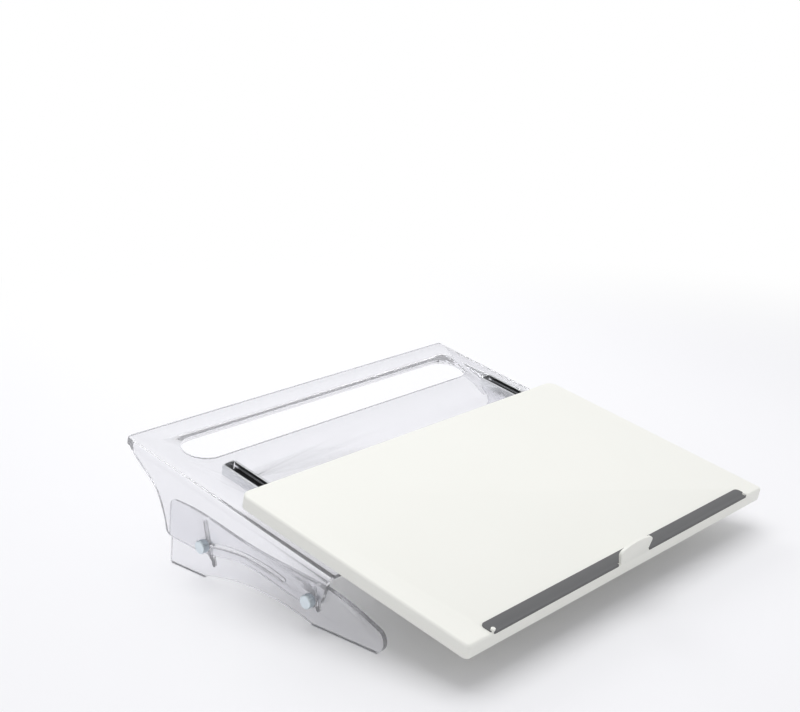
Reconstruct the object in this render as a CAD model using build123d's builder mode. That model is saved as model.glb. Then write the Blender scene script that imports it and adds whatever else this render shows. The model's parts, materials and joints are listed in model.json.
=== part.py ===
"""Sloping document board that slides like a drawer over a clear acrylic stand.

Millimetres and degrees. X runs to the right, Y to the back and Z up, with the origin on the
desk at the middle of the whole outline. Two more ways of naming a point are used:
  on the slope: u to the right, v up the slope from the board's front edge, w square to it,
  with w = 0 at the board's underside;
  on the side: y back from the board's front bottom edge, and z up from the desk.
"""
from build123d import *
from math import cos, radians, sin, tan
import os

os.makedirs("parts", exist_ok=True)

# ---------------------------------------------------------------- driving dimensions
slope_angle = 12.0          # slope of the board to the desk
board_height = 34.0         # desk to the board's front bottom edge

# board
board_width = 505.0
board_depth = 300.0
board_thickness = 14.0
board_sheet = 6.5           # top sheet of the hollow board
board_wall = 4.0            # skirt round the hollow board
board_edge_radius = 3.0
board_rear_corner = 12.0
board_front_corner = 5.0
board_overlap = 135.0       # length of board that lies over the shell
rib_height = 3.5
rib_thickness = 3.0
skirt_clearance = 2.5       # between the rear skirt and the slide channels
runner_seat_width = 24.0    # wide rib that the runner is screwed to

# rubber strip and stop tab on the front edge
strip_side = 32.5           # from the end of the strip to the board's side
strip_width = 15.5
strip_thickness = 2.5
strip_proud = 1.0           # how far the strip stands above the board
strip_corner = 5.0
stud_radius = 2.2           # small stud that ends the strip's kerb
stud_height = 3.0
stud_edge = 0.8             # rubber left outside the stud
tab_width = 54.0
tab_root_width = 45.0
tab_height = 18.5           # above the board's top
tab_thickness = 3.0
tab_shoulder = 7.5          # from the tab's top down to its widest place

# bent shell
shell_side = 3.5            # how far it is wider than the board at each side
shell_sheet = 5.0
shell_depth = 314.0         # along the slope
fold_radius = 8.0           # outside of the two folds
shell_corner = 12.0
window_side = 36.0          # from the oblong cut-out to the shell's side
window_width = 49.0
window_back = 35.0          # from the cut-out to the shell's rear edge

# foot plates
foot_sheet = 5.0
foot_gap = 0.4              # between flange and foot plate
arch_rise = 10.5            # height of the low arch under each plate
pad_thickness = 1.5
pad_inset = 0.5

# clamp bolts, on the side view
front_bolt_back = 21.5      # from the shell's front edge
front_bolt_drop = 34.0      # straight down from the shell's top
bolt_spacing = 153.0        # from the front bolt back to the rear one
bolt_rise = 10.0            # and up to it
bolt_diameter = 4.0
bolt_head_diameter = 9.0
bolt_head_height = 3.0
bolt_head_chamfer = 0.6
slot_clearance = 0.5        # each side of a bolt in its slot
slot_lean = 10.0            # foot slots lean back from upright
front_slot_low = 19.2       # lowest bolt place in the front foot slots, above the desk
front_slot_up = 9.5
rear_slot_low = 18.85
rear_slot_up = 23.0
washer_diameter = 12.0
washer_thickness = 1.0
knob_diameter = 14.0
knob_length = 8.5
knob_wall = 2.0             # metal left beyond the end of the bolt
grip_grooves = 18
groove_radius = 0.7

# drawer slides
rail_inset = 44.5           # from the middle of a slide to the board's side
rail_setback = 0.5          # from the shell's front edge
channel_length = 199.5
channel_width = 18.0
channel_height = 10.5
channel_metal = 1.0
channel_lip = 2.5
lip_clearance = 1.5         # between the channel's lips and the board's ribs
stop_rise = 1.5             # how far the bent-up rear stop stands above the channel
stop_width = 12.0
runner_length = 200.0
runner_metal = 1.0
runner_back = 2.0           # from the runner's rear end to the board's
ball_diameter = 3.0
balls_per_side = 5
ball_pitch = 11.0
cage_length = 58.0
cage_metal = 1.0
cage_lift = 0.5             # gap between the cage and the members above and below it
cage_lip_gap = 2.5          # from the cage up to the channel's lips

# small screws of the slides
screw_diameter = 3.0
screw_head_diameter = 5.4
sunk_head_height = 1.2
pan_head_height = 1.6
screw_bite = 5.0            # length in the board
screws_per_rail = 3
screw_end_margin = 22.0

# clearances
free_fit = 0.05             # pins and balls that turn, on the radius
face_gap = 0.1              # between flat faces that slide
loose_fit = 0.2             # washers on bolts, on the radius

# ---------------------------------------------------------------- derived values
lean = radians(slope_angle)
rib_bottom = board_thickness - board_sheet - rib_height
shell_top = rib_bottom - lip_clearance - channel_height
shell_bottom = shell_top - shell_sheet
shell_front = board_depth - board_overlap
shell_rear = shell_front + shell_depth
shell_width = board_width + 2 * shell_side
strip_length = board_width - 2 * strip_side
tab_top = board_thickness + tab_height
strip_bottom = board_thickness + strip_proud - strip_thickness
front_reach = -tab_top * sin(lean)
rear_reach = shell_rear * cos(lean) - shell_bottom * sin(lean)
origin_y = (front_reach + rear_reach) / 2
flange_out = shell_width / 2
flange_in = flange_out - shell_sheet
foot_out = flange_in - foot_gap
foot_in = foot_out - foot_sheet
front_bolt_y = shell_front + front_bolt_back
front_bolt_z = (board_height + front_bolt_y * tan(lean) + shell_top / cos(lean)
                - front_bolt_drop)
rear_bolt_y = front_bolt_y + bolt_spacing
rear_bolt_z = front_bolt_z + bolt_rise
slot_width = bolt_diameter + 2 * slot_clearance
front_slot_down = (front_bolt_z - front_slot_low) / cos(radians(slot_lean))
rear_slot_down = (rear_bolt_z - rear_slot_low) / cos(radians(slot_lean))
rail_offset = board_width / 2 - rail_inset
channel_front = shell_front + rail_setback
channel_rear = channel_front + channel_length
channel_floor = shell_top + channel_metal
runner_half = channel_width / 2 - channel_metal - ball_diameter - 2 * free_fit
runner_rear = board_depth - runner_back
runner_front = runner_rear - runner_length
ball_u = runner_half + free_fit + ball_diameter / 2
cage_floor = channel_floor + cage_lift
cage_top = shell_top + channel_height - channel_metal - cage_lip_gap
ball_w = (cage_floor + cage_metal + cage_top) / 2
cage_middle = (max(channel_front, runner_front) + min(channel_rear, runner_rear)) / 2
runner_wall_drop = rib_bottom - cage_floor - cage_metal - cage_lift
cut_spare = 1.0             # how far a cut runs past the face it opens
trim_reach = 2 * board_width  # longer than any piece that it trims
slope_normal = Axis((0, 0, 0), (0, -sin(lean), cos(lean)))
SIDES = (("left", -1), ("right", 1))
ENDS = (("front", front_bolt_y, front_bolt_z), ("rear", rear_bolt_y, rear_bolt_z))


def side_point(v, w):
    """Side view (y, z) of a point on the slope."""
    return (v * cos(lean) - w * sin(lean), board_height + v * sin(lean) + w * cos(lean))


def slope_plane(w):
    """Plane along the slope at height w: local x is u, local y is v."""
    y, z = side_point(0, w)
    return Plane(origin=(0, y - origin_y, z), x_dir=(1, 0, 0), z_dir=(0, -sin(lean), cos(lean)))


def section_plane(v):
    """Plane across the slope at v: local x is -u, local y is w."""
    y, z = side_point(v, 0)
    return Plane(origin=(0, y - origin_y, z), x_dir=(-1, 0, 0), z_dir=(0, cos(lean), sin(lean)))


def side_plane(x):
    """Upright plane at x: local x is y of the side view, local y is z."""
    return Plane(origin=(x, -origin_y, 0), x_dir=(0, 1, 0), z_dir=(1, 0, 0))


def front_mark(dy, dz):
    """Side view point measured from the front bolt."""
    return (front_bolt_y + dy, front_bolt_z + dz)


def rear_mark(dy, dz):
    """Side view point measured from the rear bolt."""
    return (rear_bolt_y + dy, rear_bolt_z + dz)


def save(builder, name):
    builder.part.label = name
    export_step(builder.part, f"parts/{name}.step")


# ---------------------------------------------------------------- small shared shapes
channel_screw_places = [
    channel_front + screw_end_margin
    + i * (channel_length - 2 * screw_end_margin) / (screws_per_rail - 1)
    for i in range(screws_per_rail)
]
runner_screw_places = [
    runner_front + screw_end_margin
    + i * (runner_length - 2 * screw_end_margin) / (screws_per_rail - 1)
    for i in range(screws_per_rail)
]


def sunk_screws(u, spare, mode):
    """Countersunk screws through the channel floor into the shell, or their holes with spare."""
    radius = screw_diameter / 2 + spare
    head = screw_head_diameter / 2 + spare
    with Locations(*[(u, v, shell_bottom) for v in channel_screw_places]):
        Cylinder(radius, channel_floor - shell_bottom, align=(Align.CENTER, Align.CENTER, Align.MIN),
                 mode=mode)
    with Locations(*[(u, v, channel_floor - sunk_head_height) for v in channel_screw_places]):
        Cone(radius, head, sunk_head_height, align=(Align.CENTER, Align.CENTER, Align.MIN),
             mode=mode)


# ---------------------------------------------------------------- clear shell
with BuildPart(slope_plane(0)) as slope_shell:
    with BuildSketch(section_plane(shell_front - trim_reach / 2)) as fold:
        with Locations((0, shell_top)):
            Rectangle(shell_width, trim_reach, align=(Align.CENTER, Align.MAX))
        fillet(fold.vertices().group_by(Axis.Y)[-1], fold_radius)
        with BuildSketch(mode=Mode.SUBTRACT) as hollow:
            with Locations((0, shell_bottom)):
                Rectangle(2 * flange_in, trim_reach, align=(Align.CENTER, Align.MAX))
            fillet(hollow.vertices().group_by(Axis.Y)[-1], fold_radius - shell_sheet)
    extrude(amount=2 * trim_reach)

    # the side outline, flange and sheet together, trims the folded sheet
    with BuildSketch(side_plane(0)):
        with BuildLine():
            Line(side_point(shell_front, shell_top), front_mark(-12, 1))
            ThreePointArc(front_mark(-12, 1), front_mark(-3, -7.7), front_mark(9.5, -9))
            Spline(front_mark(9.5, -9), front_mark(59.5, 0.5), rear_mark(-57, -4.2),
                   rear_mark(-19.5, -7.7), rear_mark(16, -10.6))
            Line(rear_mark(16, -10.6), rear_mark(58, -7))
            ThreePointArc(rear_mark(58, -7), rear_mark(63, -4.8), rear_mark(65, 0.5))
            Spline(rear_mark(65, 0.5), rear_mark(69.5, 19), rear_mark(79, 39),
                   rear_mark(105.8, 62.2), side_point(shell_rear - shell_corner, shell_bottom))
            Line(side_point(shell_rear - shell_corner, shell_bottom),
                 side_point(shell_rear, shell_bottom))
            Line(side_point(shell_rear, shell_bottom), side_point(shell_rear, shell_top))
            Line(side_point(shell_rear, shell_top), side_point(shell_front, shell_top))
        make_face()
    extrude(amount=shell_width, both=True, mode=Mode.INTERSECT)

    # rear corners and the oblong cut-out
    with BuildSketch(slope_plane(0)) as plan:
        with Locations((0, shell_rear)):
            Rectangle(shell_width, trim_reach, align=(Align.CENTER, Align.MAX))
        fillet(plan.vertices().group_by(Axis.Y)[-1], shell_corner)
    extrude(amount=trim_reach, both=True, mode=Mode.INTERSECT)
    with BuildSketch(slope_plane(shell_bottom - cut_spare)):
        with Locations((0, shell_rear - window_back - window_width / 2)):
            SlotOverall(shell_width - 2 * window_side, window_width)
    extrude(amount=shell_sheet + 2 * cut_spare, mode=Mode.SUBTRACT)

    # pivot holes and arc slots in both flanges
    with BuildSketch(side_plane(0)):
        with Locations(front_mark(0, 0)):
            Circle(bolt_diameter / 2 + free_fit)
        with BuildLine(mode=Mode.PRIVATE) as arc_slot:
            ThreePointArc(front_mark(40, 6.9), rear_mark(-54.6, 5.2), rear_mark(5, -1.3))
        SlotArc(arc_slot.edge(), slot_width)
    extrude(amount=shell_width, both=True, mode=Mode.SUBTRACT)
    for side, sign in SIDES:
        sunk_screws(sign * rail_offset, free_fit, Mode.SUBTRACT)
save(slope_shell, "slope_shell")

# ---------------------------------------------------------------- foot plates and pads
pad_spans = {
    "front": (front_mark(-77.5, 0)[0], front_mark(7.5, 0)[0]),
    "rear": (rear_mark(12.5, 0)[0], rear_mark(66, 0)[0]),
}
for side, sign in SIDES:
    with BuildPart() as foot_plate:
        with BuildSketch(side_plane(sign * foot_out)):
            with BuildLine():
                front_pad_end = (pad_spans["front"][1], pad_thickness)
                rear_pad_start = (pad_spans["rear"][0], pad_thickness)
                nose = (front_mark(-77.5, 0)[0], pad_thickness)
                heel = (rear_mark(67.1, 0)[0], pad_thickness)
                arch_crown = ((front_pad_end[0] + rear_pad_start[0]) / 2,
                              pad_thickness + arch_rise)
                Line(nose, front_pad_end)
                ThreePointArc(front_pad_end, arch_crown, rear_pad_start)
                Line(rear_pad_start, heel)
                Line(heel, rear_mark(59.5, 25.5))
                ThreePointArc(rear_mark(59.5, 25.5), rear_mark(57, 32), rear_mark(49.5, 34.3))
                Spline(rear_mark(49.5, 34.3), rear_mark(2.8, 29.6), front_mark(110.5, 30),
                       front_mark(41.3, 20.6), front_mark(-13.2, 14), front_mark(-53.8, 3.6),
                       front_mark(-82, -7.5))
                ThreePointArc(front_mark(-82, -7.5), front_mark(-87.5, -17.5), nose)
            make_face()
            for (y, z), down, up in ((front_mark(0, 0), front_slot_down, front_slot_up),
                                     (rear_mark(0, 0), rear_slot_down, rear_slot_up)):
                middle = (up - down) / 2
                place = (y + middle * sin(radians(slot_lean)), z + middle * cos(radians(slot_lean)))
                with Locations(place):
                    SlotCenterToCenter(up + down, slot_width, rotation=90 - slot_lean,
                                       mode=Mode.SUBTRACT)
        extrude(amount=-sign * foot_sheet)
    save(foot_plate, f"{side}_foot_plate")

    for end, (start, stop) in pad_spans.items():
        with BuildPart() as pad:
            with BuildSketch(side_plane(sign * (foot_out - pad_inset))):
                with Locations(((start + stop) / 2, pad_thickness / 2)):
                    Rectangle(stop - start, pad_thickness)
            extrude(amount=-sign * (foot_sheet - 2 * pad_inset))
        save(pad, f"{side}_{end}_pad")

# ---------------------------------------------------------------- clamp bolts, washers, knobs
washer_in = flange_out + face_gap
knob_in = washer_in + washer_thickness + face_gap
knob_out = knob_in + knob_length
bolt_end = knob_out - knob_wall - face_gap
for side, sign in SIDES:
    for end, y, z in ENDS:
        with BuildPart() as bolt:
            with BuildSketch(side_plane(sign * (foot_in - face_gap))):
                with Locations((y, z)):
                    Circle(bolt_head_diameter / 2)
            extrude(amount=-sign * bolt_head_height)
            inner_rim = bolt.edges().filter_by(GeomType.CIRCLE).sort_by(Axis((0, 0, 0), (sign, 0, 0)))[0]
            chamfer(inner_rim, bolt_head_chamfer)
            with BuildSketch(side_plane(sign * (foot_in - face_gap))):
                with Locations((y, z)):
                    Circle(bolt_diameter / 2)
            extrude(amount=sign * (bolt_end - foot_in + face_gap))
        save(bolt, f"{side}_{end}_bolt")

        with BuildPart() as washer:
            with BuildSketch(side_plane(sign * washer_in)):
                with Locations((y, z)):
                    Circle(washer_diameter / 2)
                    Circle(bolt_diameter / 2 + loose_fit, mode=Mode.SUBTRACT)
            extrude(amount=sign * washer_thickness)
        save(washer, f"{side}_{end}_washer")

        with BuildPart() as knob:
            with BuildSketch(side_plane(sign * knob_in)):
                with Locations((y, z)):
                    Circle(knob_diameter / 2)
                    with PolarLocations(knob_diameter / 2, grip_grooves):
                        Circle(groove_radius, mode=Mode.SUBTRACT)
            extrude(amount=sign * knob_length)
            with BuildSketch(side_plane(sign * knob_in)):
                with Locations((y, z)):
                    Circle(bolt_diameter / 2 + free_fit)
            extrude(amount=sign * (knob_length - knob_wall), mode=Mode.SUBTRACT)
        save(knob, f"{side}_{end}_knob")

# ---------------------------------------------------------------- drawer slides
for side, sign in SIDES:
    u = sign * rail_offset
    wall_u = channel_width / 2 - channel_metal / 2
    lip_u = channel_width / 2 - channel_lip / 2
    lip_w = shell_top + channel_height - channel_metal / 2

    with BuildPart(slope_plane(0)) as rail_channel:
        with BuildSketch(section_plane(channel_front)):
            with Locations((-u, shell_top + channel_metal / 2)):
                Rectangle(channel_width, channel_metal)
            with Locations((-u - wall_u, shell_top + channel_height / 2),
                           (-u + wall_u, shell_top + channel_height / 2)):
                Rectangle(channel_metal, channel_height)
            with Locations((-u - lip_u, lip_w), (-u + lip_u, lip_w)):
                Rectangle(channel_lip, channel_metal)
        extrude(amount=channel_length)
        with BuildSketch(section_plane(channel_rear)):
            with Locations((-u, shell_top)):
                Rectangle(stop_width, channel_height + stop_rise, align=(Align.CENTER, Align.MIN))
        extrude(amount=-channel_metal)
        sunk_screws(u, free_fit, Mode.SUBTRACT)
    save(rail_channel, f"{side}_rail_channel")

    with BuildPart(slope_plane(0)) as channel_screws:
        sunk_screws(u, 0, Mode.ADD)
    save(channel_screws, f"{side}_channel_screws")

    # the cage is a low trough whose walls hold the balls
    cage_start = cage_middle - cage_length / 2
    ball_places = [
        (u + edge * ball_u, cage_middle + (i - (balls_per_side - 1) / 2) * ball_pitch, ball_w)
        for edge in (-1, 1) for i in range(balls_per_side)
    ]
    with BuildPart(slope_plane(0)) as ball_cage:
        with BuildSketch(section_plane(cage_start)):
            with Locations((-u, cage_floor + cage_metal / 2)):
                Rectangle(2 * ball_u + cage_metal, cage_metal)
            with Locations((-u - ball_u, (cage_floor + cage_top) / 2),
                           (-u + ball_u, (cage_floor + cage_top) / 2)):
                Rectangle(cage_metal, cage_top - cage_floor)
        extrude(amount=cage_length)
        with Locations(*ball_places):
            Cylinder(ball_diameter / 2 + face_gap, 2 * cage_metal, rotation=(0, 90, 0),
                     mode=Mode.SUBTRACT)
    save(ball_cage, f"{side}_ball_cage")

    with BuildPart(slope_plane(0)) as rail_balls:
        with Locations(*ball_places):
            Sphere(ball_diameter / 2)
    save(rail_balls, f"{side}_rail_balls")

    with BuildPart(slope_plane(0)) as rail_runner:
        with BuildSketch(section_plane(runner_front)):
            with Locations((-u, rib_bottom - runner_metal / 2)):
                Rectangle(2 * runner_half, runner_metal)
            runner_wall_u = runner_half - runner_metal / 2
            with Locations((-u - runner_wall_u, rib_bottom - runner_wall_drop / 2),
                           (-u + runner_wall_u, rib_bottom - runner_wall_drop / 2)):
                Rectangle(runner_metal, runner_wall_drop)
        extrude(amount=runner_length)
        with Locations(*[(u, v, rib_bottom - runner_metal - cut_spare)
                         for v in runner_screw_places]):
            Cylinder(screw_diameter / 2 + free_fit, runner_metal + 2 * cut_spare,
                     align=(Align.CENTER, Align.CENTER, Align.MIN), mode=Mode.SUBTRACT)
    save(rail_runner, f"{side}_rail_runner")

    with BuildPart(slope_plane(0)) as runner_screws:
        with Locations(*[(u, v, rib_bottom - runner_metal) for v in runner_screw_places]):
            Cylinder(screw_head_diameter / 2, pan_head_height,
                     align=(Align.CENTER, Align.CENTER, Align.MAX))
            Cylinder(screw_diameter / 2, runner_metal + screw_bite,
                     align=(Align.CENTER, Align.CENTER, Align.MIN))
    save(runner_screws, f"{side}_runner_screws")

# ---------------------------------------------------------------- board and its rubber strip
stud_in = stud_radius + stud_edge
stud_places = [(-strip_length / 2 + stud_in, stud_in), (strip_length / 2 - stud_in, stud_in)]


def strip_outline():
    """Plan of the rubber strip: it passes behind the stop tab."""
    with Locations((0, strip_width / 2)):
        band = Rectangle(strip_length, strip_width)
    fillet(band.vertices(), strip_corner)
    with Locations((0, tab_thickness / 2)):
        Rectangle(tab_width, tab_thickness, mode=Mode.SUBTRACT)


with BuildPart(slope_plane(0)) as board_tray:
    with BuildSketch(slope_plane(0)) as outline:
        with Locations((0, board_depth / 2)):
            Rectangle(board_width, board_depth)
        fillet(outline.vertices().group_by(Axis.Y)[-1], board_rear_corner)
        fillet(outline.vertices().group_by(Axis.Y)[0], board_front_corner)
    extrude(amount=board_thickness)
    fillet(board_tray.faces().sort_by(slope_normal)[-1].edges(), board_edge_radius)

    # hollow underside: open under the ribs, then pockets between them
    hollow_width = board_width - 2 * board_wall
    hollow_depth = board_depth - 2 * board_wall
    with BuildSketch(slope_plane(0)):
        with Locations((0, board_depth / 2)):
            RectangleRounded(hollow_width, hollow_depth, board_edge_radius)
    extrude(amount=rib_bottom, mode=Mode.SUBTRACT)
    with BuildSketch(slope_plane(rib_bottom)):
        with Locations((0, board_depth / 2)):
            RectangleRounded(hollow_width, hollow_depth, board_edge_radius)
            with GridLocations(hollow_width / 4, board_depth, 3, 1):
                Rectangle(rib_thickness, board_depth, mode=Mode.SUBTRACT)
            with GridLocations(board_width, board_depth / 4, 1, 3):
                Rectangle(board_width, rib_thickness, mode=Mode.SUBTRACT)
            with GridLocations(2 * rail_offset, 1, 2, 1):
                Rectangle(runner_seat_width, board_depth, mode=Mode.SUBTRACT)
    extrude(amount=rib_height, mode=Mode.SUBTRACT)

    # the rear skirt clears the two channels
    with BuildSketch(slope_plane(-cut_spare)):
        with Locations((-rail_offset, board_depth), (rail_offset, board_depth)):
            Rectangle(channel_width + 2 * skirt_clearance, 3 * board_wall)
    extrude(amount=cut_spare + rib_bottom + skirt_clearance, mode=Mode.SUBTRACT)

    # tapped holes for the runner screws
    for side, sign in SIDES:
        with Locations(*[(sign * rail_offset, v, rib_bottom) for v in runner_screw_places]):
            Cylinder(screw_diameter / 2 + free_fit, screw_bite + face_gap,
                     align=(Align.CENTER, Align.CENTER, Align.MIN), mode=Mode.SUBTRACT)

    # step for the rubber strip
    with BuildSketch(slope_plane(strip_bottom)):
        strip_outline()
    extrude(amount=board_thickness, mode=Mode.SUBTRACT)

    # stop tab, in the plane of the front edge
    with BuildSketch(section_plane(0)):
        with BuildLine():
            shoulder = (tab_width / 2, tab_top - tab_shoulder)
            Line((-tab_root_width / 2, strip_bottom), (tab_root_width / 2, strip_bottom))
            Line((tab_root_width / 2, strip_bottom), shoulder)
            ThreePointArc(shoulder, (tab_width / 2 - 1.6, tab_top - 4.4),
                          (tab_width / 2 - 5.5, tab_top - 2.8))
            ThreePointArc((tab_width / 2 - 5.5, tab_top - 2.8), (0, tab_top),
                          (5.5 - tab_width / 2, tab_top - 2.8))
            ThreePointArc((5.5 - tab_width / 2, tab_top - 2.8),
                          (1.6 - tab_width / 2, tab_top - 4.4),
                          (-tab_width / 2, tab_top - tab_shoulder))
            Line((-tab_width / 2, tab_top - tab_shoulder), (-tab_root_width / 2, strip_bottom))
        make_face()
    extrude(amount=tab_thickness)

    # studs that end the kerb at both ends of the strip
    with Locations(*[(u, v, strip_bottom) for u, v in stud_places]):
        Cylinder(stud_radius, strip_thickness - strip_proud + stud_height,
                 align=(Align.CENTER, Align.CENTER, Align.MIN))
save(board_tray, "board_tray")

with BuildPart() as grip_strip:
    with BuildSketch(slope_plane(strip_bottom)):
        strip_outline()
        with Locations(*stud_places):
            Circle(stud_radius + face_gap, mode=Mode.SUBTRACT)
    extrude(amount=strip_thickness)
save(grip_strip, "grip_strip")
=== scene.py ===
# %% [markdown]
# A sloping document board in Blender
#
# The object is a desk slope. An off-white board with a grey rubber strip runs on two drawer
# slides over a bent sheet of clear acrylic, and four metal knobs clamp that sheet to two clear
# foot plates. The CAD model already holds every piece at its real size, so this notebook dresses
# it: it copies the shapes that are right and rounds their edges, turns the small hardware
# afresh, and builds the finishes from nodes.

# %% Load the frame
import bmesh
import bpy
import json
from math import atan2, cos, pi, radians, sin
from mathutils import Matrix, Vector


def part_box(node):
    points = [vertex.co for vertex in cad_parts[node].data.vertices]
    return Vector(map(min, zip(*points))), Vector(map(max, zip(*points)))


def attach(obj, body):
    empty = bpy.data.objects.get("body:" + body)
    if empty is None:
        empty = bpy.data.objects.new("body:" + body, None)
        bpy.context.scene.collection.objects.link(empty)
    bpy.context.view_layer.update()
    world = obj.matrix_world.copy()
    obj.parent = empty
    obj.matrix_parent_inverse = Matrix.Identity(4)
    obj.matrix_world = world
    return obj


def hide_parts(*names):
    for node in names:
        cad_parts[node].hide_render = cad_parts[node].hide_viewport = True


MM = 0.001
SIDES = ("left", "right")
ENDS = ("front", "rear")
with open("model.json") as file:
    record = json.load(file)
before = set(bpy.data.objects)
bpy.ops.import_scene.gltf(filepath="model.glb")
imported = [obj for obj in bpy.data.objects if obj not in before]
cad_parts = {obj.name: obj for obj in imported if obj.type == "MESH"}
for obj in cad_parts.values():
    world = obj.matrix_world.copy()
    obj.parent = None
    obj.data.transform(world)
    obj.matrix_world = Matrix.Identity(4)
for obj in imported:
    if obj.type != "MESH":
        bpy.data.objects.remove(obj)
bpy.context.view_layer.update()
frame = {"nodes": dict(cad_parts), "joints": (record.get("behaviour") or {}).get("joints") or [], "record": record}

# %% [markdown]
# The slope's own directions are used again and again: across the board, up the slope, and square
# to it. They are read from the slide's joint in the frame, so that a piece made here lies exactly
# on the CAD pieces.

# %% Directions of the slope
slide = next(j for j in frame["joints"] if j["name"] == "board_slide")
UP_SLOPE = Vector(slide["axis"]).normalized()
ACROSS = Vector((1, 0, 0))
OFF_BOARD = ACROSS.cross(UP_SLOPE).normalized()
SLOPE = Matrix((ACROSS, UP_SLOPE, OFF_BOARD)).transposed().to_4x4()


def slope_of(points):
    """World points as (across, up the slope, off the board)."""
    return [SLOPE.inverted() @ Vector(p) for p in points]


print("up the slope", [round(v, 4) for v in UP_SLOPE])

# %% [markdown]
# The camera looks from the left front corner, a little from above. Its place and lens were worked
# out from the straight edges of the real thing. The lens is long, so that the near and far ends
# of the board stay nearly parallel. It is given in pixels of an image that is 800 pixels wide,
# and a sensor width turns that into millimetres.

# %% Camera
CAMERA_AT = (-1.0923, -0.9280, 0.6186)
CAMERA_DOWN = radians(16.05)
CAMERA_TURN = radians(47.38)
FOCAL_PIXELS = 1410.9
IMAGE_WIDTH = 800
SENSOR_WIDTH = 36

camera_data = bpy.data.cameras.new("camera")
camera_data.sensor_width = SENSOR_WIDTH
camera_data.lens = SENSOR_WIDTH * FOCAL_PIXELS / IMAGE_WIDTH
camera = bpy.data.objects.new("camera", camera_data)
camera.location = CAMERA_AT
camera.rotation_euler = (pi / 2 - CAMERA_DOWN, 0, -CAMERA_TURN)
bpy.context.scene.collection.objects.link(camera)
bpy.context.scene.camera = camera
bpy.context.scene.view_settings.view_transform = "Standard"
print("lens", round(camera_data.lens, 2), "mm")

# %% [markdown]
# Clear plastic only shows by what it bends and mirrors, and in a plain white room it would
# vanish. So three things are kept apart: what the camera sees behind the object, what lights the
# object, and what its surfaces mirror. A Light Path node tells such rays apart. The helpers below
# pick rays by it, mix two shaders, and let a value rise softly.

# %% Helpers for rays
def any_ray(nodes, links, *kinds):
    """1 for a ray of any of these kinds, and 0 for all others."""
    ray = nodes.new("ShaderNodeLightPath")
    found = ray.outputs[kinds[0]]
    for kind in kinds[1:]:
        either = nodes.new("ShaderNodeMath")
        either.operation = "MAXIMUM"
        links.new(found, either.inputs[0])
        links.new(ray.outputs[kind], either.inputs[1])
        found = either.outputs[0]
    return found


def mixed(nodes, links, share, first, second):
    """A shader that goes from the first to the second as share goes from 0 to 1."""
    mix = nodes.new("ShaderNodeMixShader")
    links.new(share, mix.inputs["Fac"])
    links.new(first.outputs[0], mix.inputs[1])
    links.new(second.outputs[0], mix.inputs[2])
    return mix


def soft_rise(nodes, links, value, start, end):
    """A Map Range node that rises softly while the value goes from start to end."""
    rise = nodes.new("ShaderNodeMapRange")
    rise.interpolation_type = "SMOOTHSTEP"
    rise.inputs["From Min"].default_value = start
    rise.inputs["From Max"].default_value = end
    links.new(value, rise.inputs["Value"])
    return rise


# %% [markdown]
# The floor is one large flat sheet. Near the object it is pale and matt, and takes the shadow.
# Away from the object it fades to plain white, so that no horizon shows. That white is only there
# for rays that are seen, mirrored or sent through clear plastic. It would otherwise be a lamp,
# and light the board from below.

# %% Floor
FLOOR_SIZE = 12.0
FLOOR_COLOUR = (0.9, 0.9, 0.91, 1)
FLOOR_ROUGH = 0.6
FADE_FROM = 0.75
FADE_TO = 1.5
WHITE = (1, 1, 1, 1)

floor_shape = bmesh.new()
bmesh.ops.create_grid(floor_shape, x_segments=1, y_segments=1, size=FLOOR_SIZE)
floor_mesh = bpy.data.meshes.new("floor")
floor_shape.to_mesh(floor_mesh)
floor_shape.free()
floor = bpy.data.objects.new("floor", floor_mesh)
bpy.context.scene.collection.objects.link(floor)

floor_look = bpy.data.materials.new("pale_floor")
floor_look.use_nodes = True
floor.data.materials.append(floor_look)
nodes = floor_look.node_tree.nodes
links = floor_look.node_tree.links
matt_floor = nodes["Principled BSDF"]
matt_floor.inputs["Base Color"].default_value = FLOOR_COLOUR
matt_floor.inputs["Roughness"].default_value = FLOOR_ROUGH
white_floor = nodes.new("ShaderNodeEmission")
white_floor.inputs["Color"].default_value = WHITE

floor_place = nodes.new("ShaderNodeTexCoord")
away = nodes.new("ShaderNodeVectorMath")
away.operation = "LENGTH"
links.new(floor_place.outputs["Object"], away.inputs[0])
far = soft_rise(nodes, links, away.outputs["Value"], FADE_FROM, FADE_TO)
shown = any_ray(nodes, links, "Is Camera Ray", "Is Glossy Ray", "Is Transmission Ray")
far_and_shown = nodes.new("ShaderNodeMath")
far_and_shown.operation = "MULTIPLY"
links.new(far.outputs["Result"], far_and_shown.inputs[0])
links.new(shown, far_and_shown.inputs[1])
whole_floor = mixed(nodes, links, far_and_shown.outputs[0], matt_floor, white_floor)
links.new(whole_floor.outputs[0], nodes["Material Output"].inputs["Surface"])
print("floor is white from", FADE_TO, "m")

# %% [markdown]
# The room is the world round the scene, with three backgrounds. A pale one lights the object. The
# camera, also through clear plastic, sees a white one at a strength of 1, which is plain white.
# Mirrors find a sky that is white overhead and darker towards the walls, and this gives the metal
# and the folds of the sheet their contrast.

# %% Room
ROOM_COLOUR = (0.97, 0.97, 1.0, 1)
ROOM_STRENGTH = 0.62
SKY_COLOUR = (0.97, 0.98, 1.0, 1)
SKY_FROM = 0.25
SKY_TO = 0.85
LOW_SKY = 0.4
HIGH_SKY = 1.0

world = bpy.data.worlds.new("pale_room")
world.use_nodes = True
bpy.context.scene.world = world
nodes = world.node_tree.nodes
links = world.node_tree.links
room = nodes["Background"]
room.inputs["Color"].default_value = ROOM_COLOUR
room.inputs["Strength"].default_value = ROOM_STRENGTH
sky = nodes.new("ShaderNodeBackground")
sky.inputs["Color"].default_value = SKY_COLOUR
backdrop = nodes.new("ShaderNodeBackground")
backdrop.inputs["Color"].default_value = WHITE

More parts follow.
